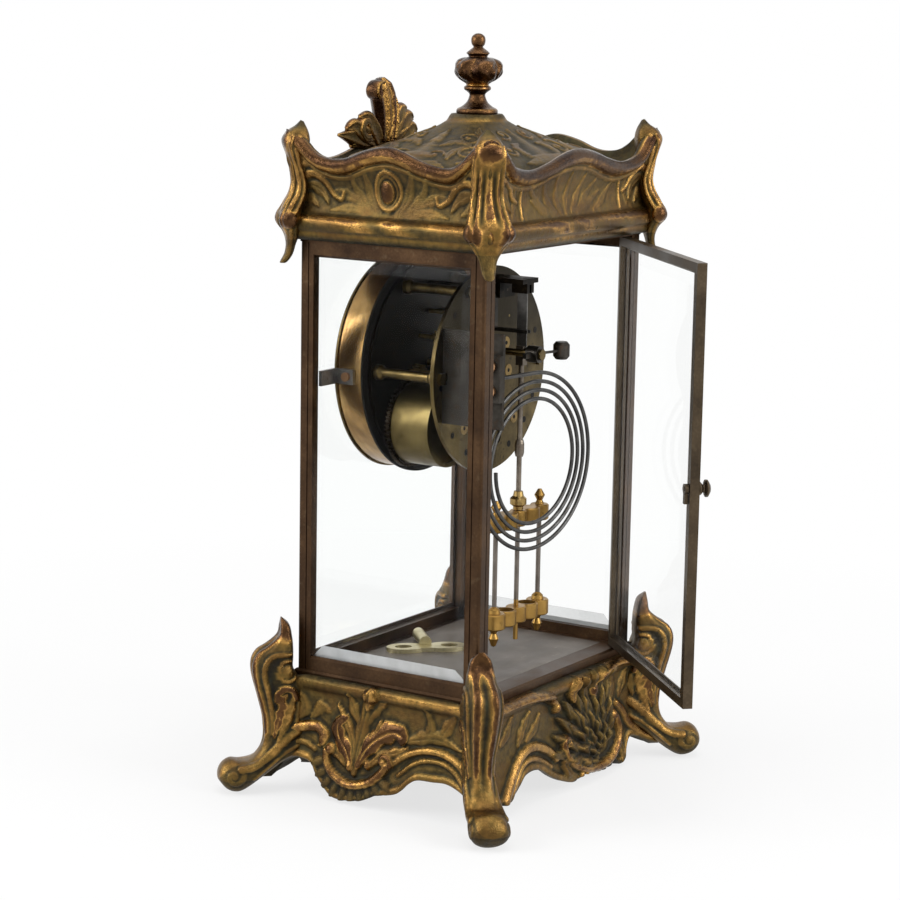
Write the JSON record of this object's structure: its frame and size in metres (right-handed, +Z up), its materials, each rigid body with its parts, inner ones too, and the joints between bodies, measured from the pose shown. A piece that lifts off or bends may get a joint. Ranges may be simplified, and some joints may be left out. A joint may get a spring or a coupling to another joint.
{
  "type": "mantel clock",
  "caption": "Glazed four-pillar mantel clock in cast bronze on scroll legs, with opening rear door, open movement, gong strike and a swinging three-rod pendulum.",
  "frame": {"origin": "on the standing plane under the middle of the case", "axes": "+Z up; the dial faces -Y; the glazed door closes the back at +Y; hinge on the -X side"},
  "size_m": [0.2568, 0.2864, 0.47],
  "materials": {
    "gilt_bronze": "aged gilt bronze casting with brown and green patina",
    "case_bronze": "dark brown patinated bronze mouldings",
    "floor_metal": "dull grey-brown sheet metal",
    "clear_glass": "clear bevelled plate glass",
    "bright_brass": "polished lacquered brass",
    "movement_brass": "aged brass",
    "steel": "grey steel",
    "screw_brass": "coppery brass screws",
    "dial_enamel": "cream enamel",
    "hand_black": "blued steel"
  },
  "bodies": {
    "case": {"base_casting": "gilt_bronze", "lower_frame": "case_bronze", "floor_plate": "floor_metal", "post_front_left": "case_bronze", "post_front_right": "case_bronze", "post_rear_left": "case_bronze", "post_rear_right": "case_bronze", "front_glass": "clear_glass", "left_glass": "clear_glass", "right_glass": "clear_glass", "upper_frame": "case_bronze", "top_casting": "gilt_bronze", "dome": "gilt_bronze", "front_crest": "gilt_bronze", "finial": "gilt_bronze", "finial_nut": "case_bronze", "dial_drum": "bright_brass", "dial": "dial_enamel", "dial_bezel": "bright_brass", "front_plate": "movement_brass", "back_plate": "movement_brass", "pillars": "movement_brass", "pillar_nuts": "movement_brass", "movement_straps": "steel", "strap_screws": "screw_brass", "back_cock": "movement_brass", "gong_bracket": "steel", "gong_clamp": "steel", "gong_screws": "screw_brass", "gong": "steel", "hammer_stud": "steel", "winding_key": "bright_brass"},
    "door": {"door_frame": "case_bronze", "door_glass": "clear_glass", "hinge_pins": "case_bronze"},
    "latch": {"door_knob": "case_bronze"},
    "pendulum": {"suspension_spring": "steel", "pendulum_rod": "steel"},
    "bob": {"pendulum_bob": "bright_brass"},
    "nut": {"rating_nut": "bright_brass"},
    "escapement_verge": {"verge": "steel"},
    "time_barrel_body": {"time_barrel": "bright_brass"},
    "time_winder": {"time_arbor": "steel"},
    "time_pawl": {"time_click": "steel"},
    "second_body": {"second_wheel": "movement_brass"},
    "centre_body": {"centre_wheel": "movement_brass"},
    "third_body": {"third_wheel": "movement_brass"},
    "escape_body": {"escape_wheel": "movement_brass"},
    "strike_barrel_body": {"strike_barrel": "bright_brass"},
    "strike_winder": {"strike_arbor": "steel"},
    "strike_pawl": {"strike_click": "steel"},
    "pin_body": {"pin_wheel": "movement_brass"},
    "warning_body": {"warning_wheel": "movement_brass"},
    "fly_body": {"fly": "movement_brass"},
    "minute_body": {"cannon_pinion": "movement_brass", "minute_hand": "hand_black"},
    "motion_body": {"minute_wheel": "movement_brass"},
    "hour_body": {"hour_wheel": "movement_brass", "hour_hand": "hand_black"},
    "hammer_body": {"hammer": "movement_brass"}
  },
  "joints": [
    {"name": "door_hinge", "type": "hinge", "parent": "case", "child": "door", "pos_m": [-0.0774, 0.063, 0.211], "axis": [0, 0, 1], "range_deg": [-46, 48]},
    {"name": "door_latch", "type": "hinge", "parent": "door", "child": "latch", "pos_m": [0.02745, 0.1759, 0.211], "axis": [-0.7193, 0.6947, 0], "range_deg": [0, 90]},
    {"name": "pendulum_swing", "type": "hinge", "parent": "case", "child": "pendulum", "pos_m": [0, 0.036, 0.314], "axis": [0, 1, 0], "range_deg": [-3.5, 3.5]},
    {"name": "bob_height", "type": "slide", "parent": "pendulum", "child": "bob", "axis": [0, 0, 1], "range_m": [-0.0025, 0.0025]},
    {"name": "rating_turn", "type": "hinge", "parent": "bob", "child": "nut", "pos_m": [0, 0.036, 0.186], "axis": [0, 0, 1], "range_deg": [-1150, 1150]},
    {"name": "verge_rock", "type": "hinge", "parent": "case", "child": "escapement_verge", "pos_m": [0, 0.02, 0.314], "axis": [0, 1, 0], "range_deg": [-3.5, 3.5]},
    {"name": "centre_turn", "type": "hinge", "parent": "case", "child": "centre_body", "pos_m": [0, -0.01, 0.2635], "axis": [0, 1, 0], "continuous": true},
    {"name": "second_turn", "type": "hinge", "parent": "case", "child": "second_body", "pos_m": [0.02135, -0.01, 0.2602], "axis": [0, 1, 0], "continuous": true},
    {"name": "time_barrel_turn", "type": "hinge", "parent": "case", "child": "time_barrel_body", "pos_m": [0.029, -0.01, 0.2295], "axis": [0, 1, 0], "continuous": true},
    {"name": "third_turn", "type": "hinge", "parent": "case", "child": "third_body", "pos_m": [0.01119, -0.01, 0.28141], "axis": [0, 1, 0], "continuous": true},
    {"name": "escape_turn", "type": "hinge", "parent": "case", "child": "escape_body", "pos_m": [0, -0.01, 0.29612], "axis": [0, 1, 0], "continuous": true},
    {"name": "pin_turn", "type": "hinge", "parent": "case", "child": "pin_body", "pos_m": [-0.02135, -0.01, 0.2602], "axis": [0, 1, 0], "continuous": true},
    {"name": "strike_barrel_turn", "type": "hinge", "parent": "case", "child": "strike_barrel_body", "pos_m": [-0.029, -0.01, 0.2295], "axis": [0, 1, 0], "continuous": true},
    {"name": "warning_turn", "type": "hinge", "parent": "case", "child": "warning_body", "pos_m": [-0.01822, -0.01, 0.27792], "axis": [0, 1, 0], "continuous": true},
    {"name": "fly_turn", "type": "hinge", "parent": "case", "child": "fly_body", "pos_m": [-0.02121, -0.01, 0.29486], "axis": [0, 1, 0], "continuous": true},
    {"name": "time_wind", "type": "hinge", "parent": "case", "child": "time_winder", "pos_m": [0.029, -0.045, 0.2295], "axis": [0, 1, 0], "continuous": true},
    {"name": "strike_wind", "type": "hinge", "parent": "case", "child": "strike_winder", "pos_m": [-0.029, -0.045, 0.2295], "axis": [0, 1, 0], "continuous": true},
    {"name": "time_click_lift", "type": "hinge", "parent": "case", "child": "time_pawl", "pos_m": [0.042, -0.0365, 0.2255], "axis": [0, 1, 0], "range_deg": [0, 14], "stiffness_Nm_per_rad": 0.01},
    {"name": "strike_click_lift", "type": "hinge", "parent": "case", "child": "strike_pawl", "pos_m": [-0.042, -0.0365, 0.2255], "axis": [0, -1, 0], "range_deg": [0, 14], "stiffness_Nm_per_rad": 0.01},
    {"name": "minute_turn", "type": "hinge", "parent": "case", "child": "minute_body", "pos_m": [0, -0.045, 0.2635], "axis": [0, 1, 0], "continuous": true},
    {"name": "motion_turn", "type": "hinge", "parent": "case", "child": "motion_body", "pos_m": [0, -0.042, 0.2795], "axis": [0, 1, 0], "continuous": true},
    {"name": "hour_turn", "type": "hinge", "parent": "case", "child": "hour_body", "pos_m": [0, -0.048, 0.2635], "axis": [0, 1, 0], "continuous": true},
    {"name": "hammer_swing", "type": "hinge", "parent": "case", "child": "hammer_body", "pos_m": [0.009, 0.051, 0.277], "axis": [0, 1, 0], "range_deg": [-17, 20], "stiffness_Nm_per_rad": 0.3}
  ],
  "couplings": [
    {"joint": "verge_rock", "follows": "pendulum_swing", "ratio": 1},
    {"joint": "rating_turn", "follows": "bob_height", "rad_per_m": 7854},
    {"joint": "second_turn", "follows": "centre_turn", "ratio": -0.2},
    {"joint": "time_barrel_turn", "follows": "centre_turn", "ratio": 0.03125},
    {"joint": "third_turn", "follows": "centre_turn", "ratio": -5},
    {"joint": "escape_turn", "follows": "centre_turn", "ratio": 22.5},
    {"joint": "strike_barrel_turn", "follows": "pin_turn", "ratio": -0.15625},
    {"joint": "warning_turn", "follows": "pin_turn", "ratio": -4},
    {"joint": "fly_turn", "follows": "pin_turn", "ratio": 16},
    {"joint": "motion_turn", "follows": "minute_turn", "ratio": -0.33333},
    {"joint": "hour_turn", "follows": "minute_turn", "ratio": 0.083333}
  ]
}
